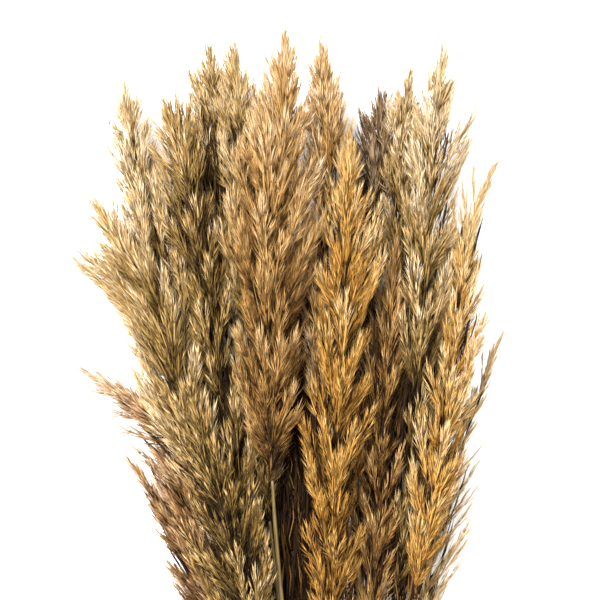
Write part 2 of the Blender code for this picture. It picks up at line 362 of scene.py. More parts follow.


# Plumes
# Kind of reed, length of a husk and how stout it is, hairs beside a spikelet ("silk"), half width and
# length of a lock, how much lightness the foot loses as painted shade (below zero it gains painted light)
# and how many near-black strands paint the shade inside. A row adds its share of strands, how many degrees
# the top opens, the lightness, which is partly the plume's own colour and partly painted shade where it
# lies deep in the bunch, and what else differs. "tips" are side tips in the photograph's pixels with how
# wide each lock is, and "dark" are gaps that near-black strands fill as painted shade.
usualPlume = {"kind": "cream", "husk": 12, "stout": 1, "silk": 5, "lock": 6.2, "long": 54, "footShade": 0.2,
              "old": 1.5, "tips": [], "dark": []}
plumes = {
    1: {"kind": "tan", "share": 1.75, "husk": 12.5, "silk": 8, "lock": 6.8, "long": 64, "top": 17,
        "light": 0.02, "footShade": 0.36, "old": 0.35,
        "tips": [(270, 50, 0.6), (294, 47, 0.5), (262, 62, 0.8), (258, 84, 0.9), (299, 78, 0.9),
            (304, 98, 1), (250, 108, 1), (307, 126, 1), (314, 150, 1), (322, 170, 0.8), (240, 140, 1),
            (318, 196, 0.9), (308, 215, 1), (298, 160, 1), (302, 184, 1), (306, 236, 1), (300, 258, 1),
            (309, 110, 0.8)]},
    2: {"kind": "gold", "share": 1.5, "lock": 6.5, "long": 66, "top": 9, "light": 0.08, "footShade": 0.46,
        "old": 1,
        "tips": [(334, 140, 0.8), (364, 160, 0.7), (341, 128, 0.8), (351, 145, 0.9), (346, 135, 0.8),
            (357, 157, 0.8), (372, 186, 0.7), (380, 192, 0.6), (381, 222, 0.8), (383, 242, 0.8),
            (378, 262, 0.8), (356, 142, 0.7), (326, 168, 0.8)],
        "dark": [(319, 424), (318, 440), (344, 462), (346, 490), (340, 520), (341, 560), (345, 588)]},
    3: {"kind": "tan", "share": 1.15, "silk": 6, "top": 20, "light": 0.17, "footShade": 0, "old": 0.5,
        "tips": [(318, 36, 0.6), (308, 62, 0.7), (331, 56, 0.7), (341, 68, 0.8), (342, 88, 0.9),
            (307, 92, 1), (343, 110, 0.7), (310, 116, 1), (306, 138, 1), (305, 158, 1)],
        "dark": [(306, 284), (306, 297), (307, 311), (292, 470), (294, 505), (291, 535), (293, 575),
            (292, 598)]},
    4: {"share": 1.25, "husk": 12.5, "stout": 1.1, "lock": 6, "long": 56, "top": 17, "light": 0.06,
        "footShade": 0.42, "old": 0.8,
        "tips": [(432, 62, 0.7), (453, 72, 0.8), (456, 84, 0.8), (424, 84, 0.9), (476, 104, 0.6),
            (470, 126, 0.7), (471, 138, 0.6), (462, 154, 0.7), (418, 100, 1), (412, 120, 1),
            (450, 178, 0.7), (408, 142, 1), (406, 196, 1)],
        "dark": [(408, 286), (411, 325), (424, 300), (428, 345), (404, 255), (418, 372)]},
    5: {"kind": "gold", "share": 1.25, "lock": 5.2, "top": 4.5, "light": 0.37, "footShade": 0.5, "old": 0.9,
        "tips": [(497, 157, 0.28), (474, 163, 0.3), (464, 184, 0.5), (480, 194, 0.5), (455, 205, 0.8),
            (480, 215, 0.5), (470, 213, 0.9), (462, 224, 1), (475, 232, 0.9), (453, 226, 1),
            (478, 250, 0.8), (466, 248, 1), (476, 270, 0.9), (452, 248, 1)]},
    6: {"kind": "grey", "share": 1.15, "silk": 6, "lock": 6.6, "long": 52, "top": 26, "light": -0.06,
        "footShade": -0.2, "old": 0.4,
        "tips": [(377, 87, 0.8), (385, 90, 1), (371, 98, 1), (359, 106, 0.5), (357, 126, 1),
            (394, 92, 1.1), (354, 146, 1), (351, 130, 1.1), (350, 152, 1.1), (352, 172, 1), (361, 106, 1),
            (364, 116, 1.1)]},
    7: {"share": 1.05, "husk": 11.5, "silk": 6, "long": 50, "top": 24, "light": -0.04, "old": 0.6,
        "tips": [(413, 60, 0.4), (404, 70, 0.6), (395, 84, 0.8), (418, 90, 1), (409, 86, 0.9),
            (390, 98, 1.1), (422, 112, 1.1), (400, 96, 1.1), (408, 150, 1), (410, 176, 1), (388, 150, 1),
            (392, 206, 1), (396, 232, 1), (387, 216, 0.9), (400, 252, 1)]},
    8: {"kind": "tan", "share": 0.95, "silk": 4, "lock": 5, "long": 52, "top": 11, "light": -0.04,
        "footShade": -0.12,
        "tips": [(362, 446, 1), (357, 476, 1), (354, 512, 1), (364, 500, 1), (352, 548, 1),
            (360, 575, 1)],
        "dark": [(357, 468), (358, 520), (359, 546), (411, 582), (352, 480), (353, 510), (354, 545),
            (353, 575), (355, 598), (391, 470), (390, 505), (392, 540), (388, 575), (402, 408),
            (402, 424), (403, 442)]},
    9: {"share": 1.7, "husk": 13.5, "stout": 1.5, "lock": 6.6, "long": 62, "top": 16, "light": 0.09,
        "footShade": -0.08, "old": 0.4,
        "tips": [(88, 197, 0.8), (101, 201, 1.1), (112, 195, 0.9), (126, 189, 1), (136, 176, 1),
            (98, 220, 1.2), (84, 246, 0.9), (74, 244, 0.7), (74, 258, 0.8), (88, 262, 1), (98, 240, 1.2),
            (92, 252, 1.3), (104, 254, 1.3), (110, 236, 1.2), (150, 168, 1), (112, 268, 1),
            (174, 246, 1)]},
    10: {"share": 0.85, "husk": 12.5, "stout": 1.3, "lock": 5.4, "long": 50, "top": 10, "light": 0.22,
        "old": 0.7,
        "tips": [(92, 272, 0.5), (98, 284, 0.6), (112, 300, 0.7), (122, 322, 0.8), (132, 345, 0.8),
            (116, 314, 0.7)]},
    11: {"kind": "pink", "share": 1, "husk": 12.5, "stout": 1.35, "lock": 6.4, "long": 50, "top": 10,
        "light": -0.03, "footShade": 0.85, "old": 0.8,
        "tips": [(77, 367, 0.5), (87, 388, 0.7), (113, 377, 0.6), (128, 366, 0.6), (136, 384, 0.8),
            (101, 408, 0.7), (116, 425, 0.8), (131, 442, 0.9), (147, 462, 0.9), (158, 476, 1),
            (170, 500, 1), (150, 446, 0.9)],
        "dark": [(166, 468), (173, 486), (180, 502)]},
    12: {"kind": "pink", "share": 0.85, "stout": 1.3, "silk": 4, "lock": 5, "long": 46, "top": 9,
        "light": -0.13, "footShade": 0.45, "old": 1.2,
        "tips": [(127, 457, 0.4), (138, 478, 0.6), (160, 534, 0.6), (167, 566, 0.6)],
        "dark": [(184, 515), (188, 535)]},
    13: {"kind": "gold", "share": 0.55, "husk": 11.5, "silk": 4, "lock": 3.4, "long": 42, "top": 5,
        "light": 0.8, "old": 0.5,
        "tips": [(504, 329, 0.25), (484, 350, 0.25), (488, 376, 0.3), (486, 440, 0.4), (480, 456, 0.8),
            (479, 484, 0.6), (474, 500, 0.9), (470, 518, 0.8), (467, 536, 0.9), (461, 560, 0.9)]},
    14: {"share": 1.2, "husk": 13.5, "stout": 1.35, "long": 56, "top": 22, "light": -0.12, "footShade": -0.15,
        "tips": [(167, 98, 1), (186, 93, 1.1), (160, 109, 1), (152, 122, 0.9), (146, 140, 1),
            (176, 90, 0.8), (190, 104, 1.1), (178, 100, 1.1), (168, 166, 1), (158, 128, 1.1),
            (163, 142, 1.1), (156, 152, 1), (196, 118, 1.1)]},
    15: {"share": 1.2, "silk": 6, "lock": 6.6, "top": 26, "light": 0.16, "footShade": -0.5, "old": 1,
        "tips": [(209, 37, 0.7), (200, 50, 0.9), (193, 60, 0.9), (186, 70, 0.9), (214, 48, 1),
            (221, 58, 1.2), (190, 90, 1.1), (226, 70, 1.1), (205, 70, 1.1), (213, 72, 1.1), (222, 72, 1),
            (222, 88, 1.1), (196, 108, 1)]},
    16: {"share": 1.05, "silk": 6, "long": 50, "top": 22, "light": -0.07, "footShade": 0.12, "old": 1,
        "tips": [(231, 35, 0.6), (224, 47, 0.9), (238, 62, 0.8), (242, 74, 0.9), (241, 92, 0.9),
            (220, 58, 1.1), (230, 62, 1.1), (221, 72, 1.1), (223, 80, 1), (246, 112, 0.9)],
        "dark": [(180, 194), (170, 238), (184, 265), (181, 232), (184, 250), (206, 140), (208, 162),
            (212, 174), (204, 182), (196, 192)]},
    17: {"share": 1.1, "stout": 1.15, "silk": 6, "long": 52, "top": 17, "light": 0.18, "footShade": 0,
        "old": 0.6,
        "tips": [(137, 91, 0.8), (118, 100, 0.8), (146, 116, 0.8), (116, 131, 0.8), (105, 138, 0.4),
            (109, 152, 0.5), (113, 167, 0.6), (117, 182, 0.7), (121, 198, 0.8), (152, 134, 1),
            (160, 150, 0.8)]},
    18: {"kind": "grey", "share": 0.75, "husk": 11.5, "silk": 4, "lock": 5.4, "long": 50, "top": 15,
        "light": -0.3, "old": 3.6,
        "tips": [(253, 83, 0.4), (260, 89, 0.5), (248, 100, 0.6)]},
    19: {"kind": "tan", "share": 0.75, "silk": 3, "lock": 5.2, "long": 50, "top": 12, "light": -0.85,
        "footShade": 0.5, "old": 4},
    20: {"kind": "pink", "share": 0.55, "husk": 12.5, "stout": 1.3, "silk": 3, "lock": 5.8, "top": 11,
        "light": -0.14,
        "tips": [(105, 212, 0.6), (118, 228, 0.8)]},
    21: {"kind": "gold", "share": 0.55, "husk": 12.5, "silk": 3, "lock": 5.8, "top": 11, "light": 0.5},
    22: {"share": 1.05, "husk": 10.5, "stout": 1.6, "silk": 4, "lock": 5.6, "top": 12, "light": -0.21,
        "footShade": -0.12,
        "tips": [(190, 492, 1), (185, 520, 1.1), (188, 548, 1), (196, 470, 1), (252, 474, 1),
            (257, 500, 1), (260, 526, 1), (262, 552, 1), (264, 580, 1), (244, 450, 1), (266, 532, 0.9),
            (269, 556, 1), (271, 582, 1), (269, 604, 1)]},
}
strands = {
    "spikelets": 850,  # on a plume whose share is 1
    "husks": 2,  # in a spikelet
    "huskRadius": 0.45,
    "huskFlat": 0.75,  # thickness of a husk over its width
    "fan": 9.0,  # degrees between the husks of a spikelet
    "spread": (0.5, 1.12),  # how far out in its lock a strand starts and ends
    "stalkletRadius": 0.25,
    "silkRadius": 0.29,
    "silkLength": (0.8, 1.6),  # in lengths of a husk
    "silkSpread": (0.45, 1.4),
    "lean": (13.0, 25.0),  # degrees at which a branch leaves its stalk
    "full": 0.72,  # share of the tufts that carry a full lock
    "fullReach": 1.04,  # how far out these reach
    "slightReach": (0.62, 0.9),  # how far out the others reach
    "between": 16,  # branches that end between the tufts
    "betweenFull": 0.3,  # share of these that carry a full lock
    "leaders": (-4, 1, 8, 17),  # how far below the tip of the stalk the leading locks end
    "top": 20,  # short branches round the tip of the stalk
    "topSize": 0.75,
    "topReach": (2, 55),  # how far below the tip they end
    "clear": 12,  # a tuft this near to a thin side tip gives way to it
    "sprig": 1.3,  # a branch that reaches this much past its neighbours is a thin sprig
    "twigRadius": (0.42, 0.16),
    "stalkRadius": (1.25, 0.3),
    "hairs": 4,  # soft strands in the body of each lock
    "hairRadius": 0.9,
    "shades": 2,  # near-black strands that paint shade on the inner part of each branch
    "shadeRadius": 1.0,
    "shadeDrop": 2.0,  # how far below the branch they lie
    "core": 150,  # near-black strands that paint shade in the heart of a plume
    "coreRadius": 1.15,
    "gap": 16,  # near-black strands that paint shade in each gap beside a plume
    "gapRadius": 1.0,
    "gapDepth": 8.0,  # how far below the stalk they lie
    "crest": 112.0,  # above this height the tips bend over
    "droop": 7.0,  # and rise by less than this
}
# a strand's lightness: a little chance, and painted shade that darkens the inside of locks and plumes
tones = {
    "middle": 0.44,
    "outside": 0.24,  # painted shade: gain from the heart of a lock to its outside
    "end": 0.22,  # painted shade: gain along the lock from its foot to its tip
    "depth": 0.40,  # painted shade: gain from the stalk to the outside of the plume
    "locks": 0.08,  # how much the locks differ
    "slight": 0.1,  # painted shade: how much darker a slight lock is, as it lies further in
}


def plumeShape(number):
    # The line through the middle of the solid, and its surface. Corners are counted in edges from the neck,
    # and the line runs through the median of each count. A corner that is further from the line than its
    # neighbours are on average is the tip of a tuft.
    verts, tris = welded(f"plume_{number:02d}")
    edges = np.concatenate([tris[:, [0, 1]], tris[:, [1, 2]], tris[:, [2, 0]]])
    edges = np.unique(np.concatenate([edges, edges[:, ::-1]]), axis=0)
    ends = np.bincount(edges[:, 0], minlength=len(verts))
    culm = welded(f"stem_{number:02d}")[0]
    gap = np.linalg.norm(verts[:, None] - culm[None], axis=2).min(1)
    poles = np.flatnonzero(ends >= 12)
    neck = poles[np.argmin(gap[poles])] if len(poles) else np.argmin(gap)
    level = np.full(len(verts), -1)
    level[neck] = 0
    for k in range(1, 40):
        near = np.unique(edges[level[edges[:, 0]] == k - 1, 1])
        near = near[level[near] < 0]
        if not len(near):
            break
        level[near] = k
    top = level.max()
    others = [pole for pole in poles if pole != neck]
    tip = verts[others[0]] if others else verts[level == top].mean(0)
    middle = [verts[neck]] + [np.median(verts[level == k], axis=0) for k in range(1, top)]
    middle = [point for point in middle if np.linalg.norm(point - tip) > 12 * mm] + [tip]
    line = smoothed(resampled(np.array(middle), 80)[0], 60)
    line, length = resampled(line, 80)
    far = np.linalg.norm(verts[:, None] - line[None], axis=2).min(1)
    total = np.bincount(edges[:, 0], far[edges[:, 1]], len(verts))
    tuft = (far > total / np.maximum(ends, 1)) & (far > 3 * mm)
    tuft[neck] = False
    return verts, tris, line, length, tuft


def onLine(line, share):
    # the point and the heading at that share of the line
    x = np.clip(share, 0, 1) * (len(line) - 1)
    k = np.arange(len(line))
    return onPath(x, k, line), unit(onPath(x, k, tangents(line)))


def fromPhoto(pixels, height):
    # the place at that height which the camera sees at a pixel: counted from the middle of the picture, a
    # pixel is the distance times the sensor over the lens and the count of pixels
    wide = (view["place"][2] - height) * view["sensor"] / view["lens"] / view["picture"]
    x = view["place"][0] + (pixels[:, 0] - view["picture"] / 2) * wide
    y = view["place"][1] + (view["picture"] / 2 - pixels[:, 1]) * wide
    return np.stack([x, y, height], 1)


def onSurface(rng, verts, tris, count):
    # a corner plus x times one side plus y times the other, on triangles picked by their area
    a, b, c = verts[tris[:, 0]], verts[tris[:, 1]], verts[tris[:, 2]]
    area = np.linalg.norm(np.cross(b - a, c - a), axis=1)
    pick = rng.choice(len(tris), count, p=area / area.sum())
    x, y = rng.random((2, count))
    x, y = np.where(x + y > 1, 1 - x, x), np.where(x + y > 1, 1 - y, y)
    return a[pick] + x[:, None] * (b[pick] - a[pick]) + y[:, None] * (c[pick] - a[pick])


def sideTips(spec, line):
    # the photograph's side tips at the height of the stalk beside them, found in three rounds
    seen = np.array(spec["tips"], float).reshape(-1, 3)
    height = np.full(len(seen), line[:, 2].mean())
    for _ in range(3):
        spot = fromPhoto(seen, height)
        height = line[np.linalg.norm(spot[:, None, :2] - line[None, :, :2], axis=2).argmin(1), 2]
    return fromPhoto(seen, height), seen[:, 2]


def branchTips(rng, spec, shape):
    # Branches end at the solid's tufts, between them, near the tip of the stalk, in a cone round it and at
    # the photograph's side tips. The cone's radius is the distance below the tip times the tangent of its
    # angle, and each branch stands a golden turn from the one before.
    verts, tris, line, length, tuft = shape
    few = int(strands["between"] * spec["share"])
    between = onSurface(rng, verts, tris, few)

    crown = strands["top"]
    below = rng.uniform(*strands["topReach"], crown) * mm
    high, way = onLine(line, 1 - below / length)
    left, up = across(way, upwards)
    turn = np.arange(crown) * goldenTurn + rng.uniform(0, 6)
    wide = below * np.tan(np.radians(spec["top"])) + 2 * mm
    edge = high + wide[:, None] * (np.cos(turn)[:, None] * left + np.sin(turn)[:, None] * up)

    seen, seenWidth = sideTips(spec, line)
    tufts = verts[tuft]
    if len(seen):
        gap = np.linalg.norm(tufts[:, None] - seen[None], axis=2)
        tufts = tufts[np.where(seenWidth < 0.55, gap, 1).min(1) > strands["clear"] * mm]
    under = np.array(strands["leaders"])[:, None]
    leaders = line[-1] + rng.normal(0, 0.8, (len(under), 3)) * mm - way[:1] * under * mm
    goals = np.concatenate([tufts, between, leaders, edge, seen])

    full = np.concatenate([
        rng.random(len(tufts)) < strands["full"],
        rng.random(few) < strands["betweenFull"],
        np.ones(len(leaders) + crown + len(seen), bool),
    ])
    n = len(goals)
    first = n - len(seen)
    order = np.arange(n)
    top = (order < first) & (order >= first - crown - len(leaders))
    size = np.where(full, rng.uniform(0.85, 1.2, n), rng.uniform(0.6, 0.85, n))
    size[top] *= strands["topSize"]
    size[first:] = 1.0
    width = np.ones(n)
    width[top] *= np.clip(spec["top"] / 15, 0.3, 1.2)
    width[first:] = seenWidth
    reach = np.where(full, strands["fullReach"], rng.uniform(*strands["slightReach"], n))
    return goals, full, reach, size, width, top, order >= first


def layBranches(rng, spec, shape):
    # Each branch is a Bezier curve that leaves the stalk below its tip, by its reach over the tangent of its
    # lean, and comes in along the stalk.
    line, length = shape[2:4]
    goals, full, stretch, size, width, crown, seen = branchTips(rng, spec, shape)
    n = len(goals)
    gap = np.linalg.norm(goals[:, None] - line[None], axis=2)
    station = gap.argmin(1) / (len(line) - 1)
    foot = onLine(line, station)[0]
    goals = foot + (goals - foot) * stretch[:, None]
    reach = gap.min(1) * stretch
    # how wide the plume is along its stalk: the reach of the full branches, weighted by a bell
    spot = np.linspace(0, 1, 24)
    nearby = np.exp(-(((spot[:, None] - station) / 0.06) ** 2)) * full
    outer = (nearby * reach).sum(1) / np.maximum(nearby.sum(1), 1e-6)

    lean = np.radians(rng.uniform(*strands["lean"], n))
    back = np.maximum(reach / np.tan(lean), 30 * mm)
    start, heading = onLine(line, np.clip(station - back / length, rng.uniform(0.0, 0.05, n), 0.96))
    span = np.linalg.norm(goals - start, axis=1)[:, None]
    chord = unit(goals - start)
    leaving = unit(0.65 * heading + 0.35 * chord)
    ending = unit(0.7 * chord + 0.4 * onLine(line, station)[1] + rng.normal(0, 0.06, (n, 3)))
    curve = (start, start + leaving * span * 0.36, goals - ending * span * 0.30, goals)
    w = np.linspace(0, 0.95, 4)[None].repeat(n, 0)
    middles = bezier(*[point[:, None] for point in curve], w)
    branchLength = np.linalg.norm(np.diff(middles, axis=1), axis=2).sum(1) / 0.95

    lockLength = np.minimum(spec["long"] * mm * size, 0.9 * branchLength)
    sprig = (reach > strands["sprig"] * np.interp(station, spot, outer) + 3 * mm) & ~seen
    lockRadius = spec["lock"] * mm * size * np.clip(lockLength / (0.75 * spec["long"] * mm), 0.4, 1)
    return {
        "curve": curve, "middles": middles, "full": full, "seen": seen, "crown": crown,
        "station": station, "outward": goals - foot, "spot": spot, "outer": outer,
        "long": lockLength, "clad": 1 - lockLength / branchLength,
        "wide": lockRadius * width * np.where(sprig, 0.5, 1),
        "reference": unit(rng.normal(size=(n, 3))),
    }


def inLock(branch, own, x, k, phi):
    # The lines of a slim bud round the outer part of a branch: the curve's point plus k times the radius,
    # turned by phi. The radius is the lock's times (1.9 x^0.6 (1 - x)^0.45 + 0.3 x^2), where x runs from 0
    # at the foot of the lock to 1 at its tip.
    x = np.clip(x, -0.3, 1.12)
    clad = branch["clad"][own][:, None]
    w = np.clip(clad + (1 - clad) * x, 0.01, 1.08)
    points = [point[own][:, None] for point in branch["curve"]]
    left, up = across(bezierHeading(*points, w), branch["reference"][own][:, None])
    soft = np.clip(x, 0.0, 1.0)
    bud = 1.9 * soft**0.6 * (1 - soft) ** 0.45 + 0.3 * np.clip(x, 0, 2) ** 2
    radius = branch["wide"][own][:, None] * bud * k
    outward = np.cos(phi)[:, None, None] * left + np.sin(phi)[:, None, None] * up
    return bezier(*points, w) + radius[..., None] * outward


def settled(path, r):
    # nothing goes below the surface that the bunch lies on, and the highest tips bend over: above the crest
    # they rise by the droop times the hyperbolic tangent of their rise over the droop
    crest, droop = strands["crest"] * mm, strands["droop"] * mm
    z = path[..., 2:]
    z = np.minimum(z, crest) + droop * np.tanh(np.maximum(z - crest, 0) / droop)
    return np.concatenate([path[..., :2], np.maximum(z, r[..., None] + 0.0002)], -1)


def strand(path, r, tone, span, foot, reference, flat=1.0):
    # a strand with three sides, whose v runs from the foot's value to one
    return carry(settled(path, r), r, 3, tone, span, np.linspace(foot, 1, 4), reference, flat)


def huskTone(rng, lockTone, x, k, depth, wide):
    # painted shade: lighter towards the outside of the lock, its end and the outside of the plume, plus a
    # little chance, and then laid into the husks' band of the map
    tone = tones["middle"] + lockTone + tones["outside"] * (k - 0.65) + tones["end"] * (x - 0.5)
    tone = tone + tones["depth"] * (depth - 0.8)
    tone = np.clip(tone + rng.normal(0, wide, len(tone)), 0, 1)
    return bands["husk"][0] + (bands["husk"][1] - bands["husk"][0]) * tone


def stalks(rng, branch, line):
    # the branches and the stalk that they leave, each a path with a radius that falls in a straight line
    n = len(branch["long"])
    thick = np.linspace(*strands["twigRadius"], 4)[None].repeat(n, 0) * mm
    tone = rng.uniform(*bands["stalk"], n)
    twigs = strand(branch["middles"], thick, tone, 0.004, 0.3, branch["reference"][:, None])
    steps = 30
    thick = np.linspace(*strands["stalkRadius"], steps)[None] * mm
    middle = resampled(line, steps)[0][None]
    stalk = carry(middle, thick, 7, np.array([0.07]), 0.05, np.linspace(0.4, 1, steps), upwards)
    return [twigs, stalk]


def placeSpikelets(rng, branch, spec):
    # Spikelets are dealt to the locks by length times width. In a lock they stand a golden turn from each
    # other, x grows with their number and k, their share of the radius, is a chance to the power of 0.55.
    weight = branch["long"] * np.maximum(branch["wide"], 0.5 * spec["lock"] * mm)
    budget = int(strands["spikelets"] * spec["share"])
    count = np.maximum(np.round(budget * weight / weight.sum()).astype(int), 3)
    own = np.repeat(np.arange(len(weight)), count)
    order = np.arange(len(own)) - np.repeat(np.cumsum(count) - count, count)
    part = spec["husk"] * mm / branch["long"][own]
    x = (1 - 0.75 * part) * np.clip((order + rng.random(len(own))) / count[own], 0, 1) ** 0.85
    k = rng.random(len(own)) ** 0.55
    phi = order * goldenTurn + rng.normal(0, 0.5, len(own))
    track = inLock(branch, own, np.stack([x, x + part], 1), k[:, None] * np.array(strands["spread"]), phi)
    return {"own": own, "x": x, "k": k, "phi": phi, "part": part, "base": track[:, 0],
            "aim": unit(track[:, 1] - track[:, 0])}


def stalklets(rng, branch, spikelet):
    # a needle from the middle of the lock to each spikelet
    n = len(spikelet["own"])
    x = spikelet["x"][:, None] - 0.22
    middle = inLock(branch, spikelet["own"], x, np.zeros((n, 1)), spikelet["phi"])[:, 0]
    end = spikelet["base"] + spikelet["aim"] * 3 * mm
    r = np.full(n, strands["stalkletRadius"]) * mm
    return spikes(middle, end, r, rng.uniform(*bands["stalk"], n), 0.003, (0.3, 0.9))


def plumeDepth(branch, base, line):
    # how deep a strand lies, for its painted shade: the distance to the stalk over the half width of the
    # plume there; near the top it all counts as outside
    off = np.linalg.norm(base[:, None] - line[None], axis=2)
    level = off.argmin(1) / (len(line) - 1)
    edge = np.interp(level, branch["spot"], branch["outer"])
    return np.clip(off.min(1) / edge + np.clip((level - 0.7) / 0.25, 0, 1), 0.2, 1.1)


def husks(rng, spikelet, spec, lockTone, depth):
    # each spikelet is a narrow fan of flat pointed husks: one heads along the aim plus the tangent of its
    # angle times the side of the fan, and its middle is drawn back a little, so that it curves
    fan = strands["husks"]
    own = np.repeat(np.arange(len(spikelet["own"])), fan)
    n = len(own)
    place = np.tile(np.arange(fan), len(spikelet["own"])) - (fan - 1) / 2
    aim = spikelet["aim"]
    left, up = across(aim, unit(rng.normal(size=aim.shape)))
    left, up = left[own], up[own]
    angle = np.radians(strands["fan"] * place + rng.normal(0, 3.0, n))
    way = unit(aim[own] + np.tan(angle)[:, None] * left + rng.normal(0, 0.05, n)[:, None] * up)
    long = spec["husk"] * mm * rng.uniform(0.75, 1.15, n)
    start = spikelet["base"][own] + aim[own] * rng.uniform(-1 * mm, 3 * mm, n)[:, None]
    v = np.array([0.0, 0.42, 1.0])
    bend = rng.uniform(0.01, 0.05, n) * np.sign(place) * long
    path = start[:, None] + (long[:, None] * v)[..., None] * way[:, None]
    path -= (bend[:, None] * np.array([0, 1, 0]))[..., None] * left[:, None]
    stout = strands["huskRadius"] * spec["stout"] * mm * rng.uniform(0.7, 1.25, n)
    r = stout[:, None] * np.array([0.0, 1.0, 0.0])
    lock, x, k = spikelet["own"][own], spikelet["x"][own], spikelet["k"][own]
    tone = huskTone(rng, lockTone[lock], x, k, depth[own], 0.11)
    return carry(settled(path, r), r, 3, tone, 0.006, v, left[:, None], strands["huskFlat"])


def silk(rng, branch, spikelet, spec, lockTone, depth):
    # long thin hairs from each spikelet's foot that follow the bud's lines and stand out at their ends
    own = np.repeat(np.arange(len(spikelet["own"])), spec["silk"])
    n = len(own)
    lock, x, k = spikelet["own"][own], spikelet["x"][own], spikelet["k"][own]
    long = rng.uniform(*strands["silkLength"], n)
    steps = spikelet["part"][own][:, None] * (np.stack([0 * long, long], 1) - 0.25)
    swerve = spikelet["phi"][own] + rng.normal(0, 0.5, n)
    spread = np.maximum(k, 0.35)[:, None] * np.array(strands["silkSpread"])
    ends = inLock(branch, lock, x[:, None] + steps, spread, swerve)
    ends[:, 1] += unit(rng.normal(size=(n, 3))) * 2.0 * mm
    r = strands["silkRadius"] * mm * rng.uniform(0.75, 1.2, n)
    tone = huskTone(rng, lockTone[lock], x + 0.15, k, depth[own], 0.1)
    return spikes(ends[:, 0], ends[:, 1], r, tone, 0.004, (0.2, 1.0))


def lockBodies(rng, branch, lockTone):
    # soft strands that follow the bud's lines and fill the body of each lock
    each = np.where(branch["full"], strands["hairs"], 2) * ~branch["crown"]
    own = np.repeat(np.arange(len(lockTone)), each)
    n = len(own)
    x = rng.uniform(-0.15, 0.3, n)
    part = rng.uniform(0.4, 0.6, n)
    k = rng.uniform(0.1, 0.6, n)
    steps = x[:, None] + part[:, None] * np.linspace(0, 1, 4)
    path = inLock(branch, own, steps, k[:, None], rng.uniform(0, 6.3, n))
    slim = np.clip(branch["wide"][own] / (5 * mm), 0.3, 1)
    r = strands["hairRadius"] * mm * (slim * rng.uniform(0.7, 1.2, n))[:, None] * np.array([0, 1.0, 0.85, 0])
    # their painted shade is that of a strand part way into the lock and the plume
    tone = huskTone(rng, lockTone[own], x + 0.25, 0.4, 0.75, 0.06)
    return strand(path, r, tone, 0.016, 0.25, unit(rng.normal(size=(n, 1, 3))), 0.7)


def branchShades(rng, branch):
    # near-black strands that paint shade beside the inner part of each branch and a little below it
    broad = (branch["station"] < 0.82) & (branch["wide"] > 3 * mm)
    own = np.repeat(np.flatnonzero(broad), strands["shades"])
    n = len(own)
    w = np.clip(branch["clad"][own], 0.3, 1)[:, None] * np.array([0.15, 0.55, 1.0, 1.5])
    path = bezier(*[point[own][:, None] for point in branch["curve"]], np.clip(w, 0, 0.8))
    side = unit(rng.normal(size=(n, 3)))
    away = (rng.uniform(0.5, 3, n) * mm)[:, None, None] * np.array([0, 1, 1, 0.5])[:, None]
    path = path + side[:, None] * away
    path[..., 2] -= strands["shadeDrop"] * mm * np.array([0, 1, 1, 1])
    r = strands["shadeRadius"] * mm * rng.uniform(0.7, 1.2, n)[:, None] * np.array([0, 1.0, 0.8, 0])
    return strand(path, r, rng.uniform(*bands["shadeStrand"], n), 0.02, 0.2, side[:, None], 0.6)


def coreShadeStrands(rng, branch, spec, line, length):
    # near-black strands that fill the heart of the plume as painted shade: they run along the stalk, and
    # stand off towards the tip of a branch by a share of its reach that is the root of a chance; where the
    # branch rises they stay low
    n = int(strands["core"] * spec["old"])
    own = rng.choice(np.flatnonzero((branch["station"] < 0.84) & ~branch["seen"]), n)
    at = np.clip(branch["station"][own] + rng.normal(0, 0.03, n), 0.03, 0.84)
    long = np.minimum(rng.uniform(30, 55, n) * mm, 1.2 * (1 - at) * length)
    middles, ways = onLine(line, at[:, None] + (long / length)[:, None] * np.linspace(-0.7, 0.3, 4))
    side = branch["outward"][own] + rng.normal(0, 2, (n, 3)) * mm
    side[:, 2] = np.minimum(side[:, 2], 0.35 * side[:, 2])
    share = np.sqrt(rng.uniform(0.01, 0.5, n))[:, None] * np.array([0.6, 0.85, 1.0, 1.02])
    path = middles + share[..., None] * side[:, None]
    thick = strands["coreRadius"] * mm * spec["old"] ** 0.3 * rng.uniform(0.7, 1.3, n)
    r = thick[:, None] * np.array([0, 1.0, 0.9, 0])
    reference = np.cross(unit(side), ways[:, 1])[:, None]
    return strand(path, r, rng.uniform(*bands["shadeStrand"], n), 0.02, 0.2, reference, 0.7)


def gapShadeStrands(rng, spec, line):
    # dark strands along the stalk that paint the shade in the gaps beside a plume, scattered round each spot
    spots = np.repeat(np.array(spec["dark"], float).reshape(-1, 2), strands["gap"], axis=0)
    n = len(spots)
    if not n:
        return []
    place = fromPhoto(spots, np.full(n, line[:, 2].mean()))
    near = np.linalg.norm(place[:, None, :2] - line[None, :, :2], axis=2).argmin(1)
    place = fromPhoto(spots, line[near, 2] - strands["gapDepth"] * mm)
    place += rng.normal(0, 1, (n, 3)) * np.array([3.0, 9.0, 5.0]) * mm
    way = unit(tangents(line)[near] + rng.normal(0, 0.07, (n, 3)))
    long = rng.uniform(30, 60, n) * mm
    path = place[:, None] + (long[:, None] * np.linspace(-0.5, 0.5, 4))[..., None] * way[:, None]
    path += rng.normal(0, 1.0, (n, 4, 3)) * mm
    r = strands["gapRadius"] * mm * rng.uniform(0.5, 1.3, n)[:, None] * np.array([0, 1.0, 0.9, 0])
    tone = np.where(rng.random(n) < 0.75, rng.uniform(*bands["shadeStrand"], n), rng.uniform(0.36, 0.5, n))
    return [strand(path, r, tone, 0.02, 0.2, unit(rng.normal(size=(n, 1, 3))), 0.7)]


